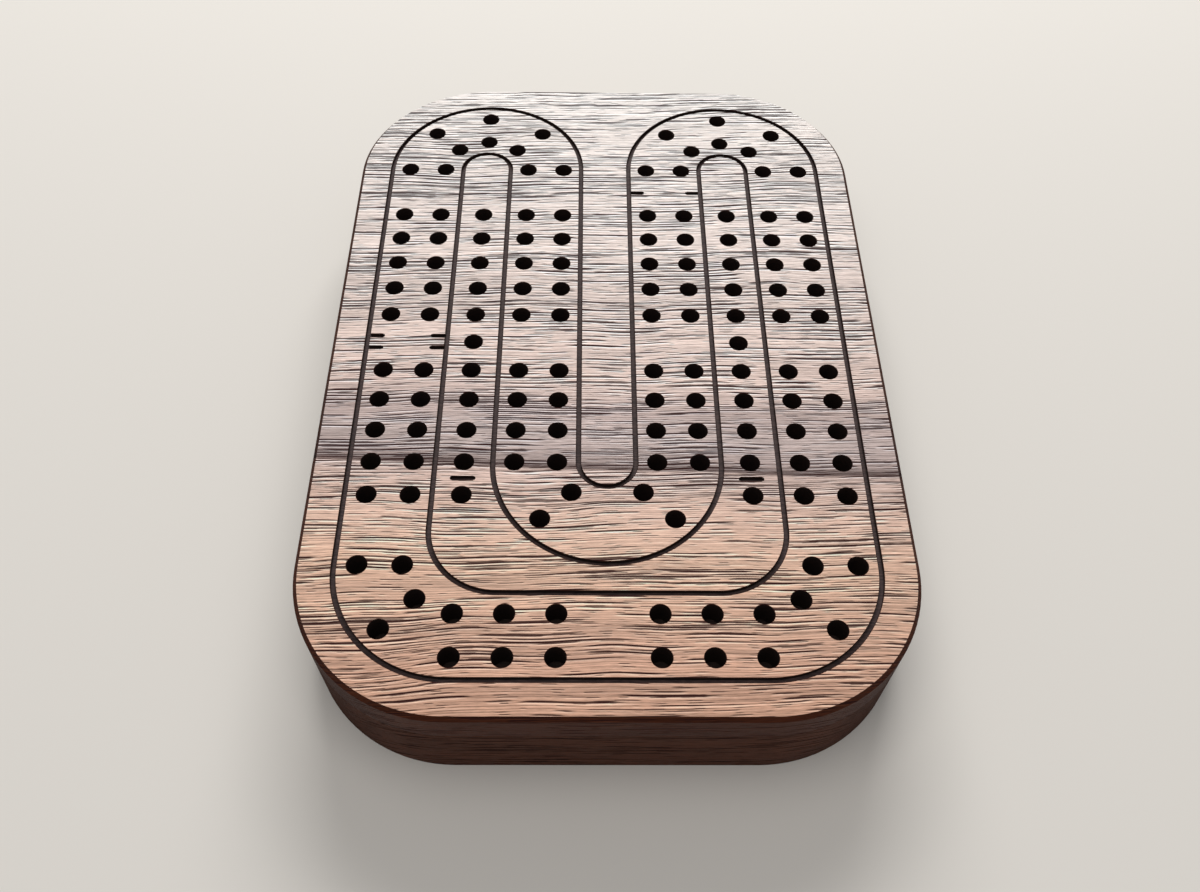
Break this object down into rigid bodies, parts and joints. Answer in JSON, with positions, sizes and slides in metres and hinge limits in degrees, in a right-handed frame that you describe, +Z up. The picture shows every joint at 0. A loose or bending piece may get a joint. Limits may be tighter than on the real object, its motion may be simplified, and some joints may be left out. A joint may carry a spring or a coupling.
{
  "type": "cribbage box with drawer",
  "caption": "Shallow round-cornered wooden cribbage board whose drilled, engraved top covers a box with a small peg drawer sliding out of its far end.",
  "frame": {"origin": "middle of the underside of the box", "axes": "+X across the board to the player's right, +Y from the near end to the end that holds the drawer, +Z up"},
  "size_m": [0.0964, 0.147, 0.0191],
  "materials": {
    "walnut_top": "oiled, open pores",
    "walnut_block": "oiled, sanded",
    "walnut_drawer": "sanded, waxed",
    "birch_ply": "bare, sanded",
    "turned_brass": "turned, lightly polished",
    "bright_steel": "turned, bright",
    "nickel_plate": "nickel plated"
  },
  "bodies": {
    "casing": {"top_plate": "walnut_top", "body_block": "walnut_block", "pocket_magnet": "nickel_plate"},
    "drawer": {"drawer_front": "walnut_block", "drawer_side_left": "walnut_drawer", "drawer_side_right": "walnut_drawer", "drawer_back": "walnut_drawer", "drawer_bottom": "birch_ply", "peg_tray": "walnut_drawer", "drawer_knob": "turned_brass", "knob_screw": "bright_steel", "drawer_magnet": "nickel_plate", "brass_peg_1": "turned_brass", "brass_peg_2": "turned_brass", "brass_peg_3": "turned_brass", "steel_peg_1": "bright_steel", "steel_peg_2": "bright_steel", "steel_peg_3": "bright_steel"}
  },
  "joints": [
    {"name": "drawer_slide", "type": "slide", "parent": "casing", "child": "drawer", "axis": [0, 1, 0], "range_m": [0, 0.088]}
  ]
}
